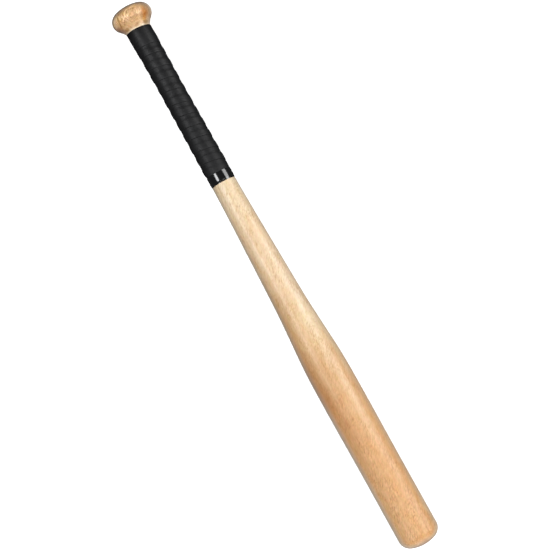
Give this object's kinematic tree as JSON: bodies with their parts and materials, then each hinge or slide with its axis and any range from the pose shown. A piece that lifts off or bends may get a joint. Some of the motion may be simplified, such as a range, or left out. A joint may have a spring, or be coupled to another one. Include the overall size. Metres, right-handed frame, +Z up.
{
  "type": "wooden baseball bat",
  "caption": "Turned wooden baseball bat with a rounded knob, a spirally wound black hand grip closed by a glossy band, and a straight round barrel with a softly domed end.",
  "frame": {"origin": "under the middle of the bat's length, on the surface that it lies on", "axes": "+X along the bat's axis from the knob to the barrel's end, +Z up from the surface that it lies on, +Y to the side"},
  "size_m": [0.635, 0.0444, 0.0443],
  "materials": {
    "wood": "clear satin lacquer over pale natural hardwood with fine lengthwise grain",
    "grip": "matte black soft-touch strip with a fine grain",
    "band": "glossy black film"
  },
  "bodies": {
    "root": {"bat_body": "wood", "grip_strip": "grip", "finishing_band": "band"}
  },
  "joints": []
}
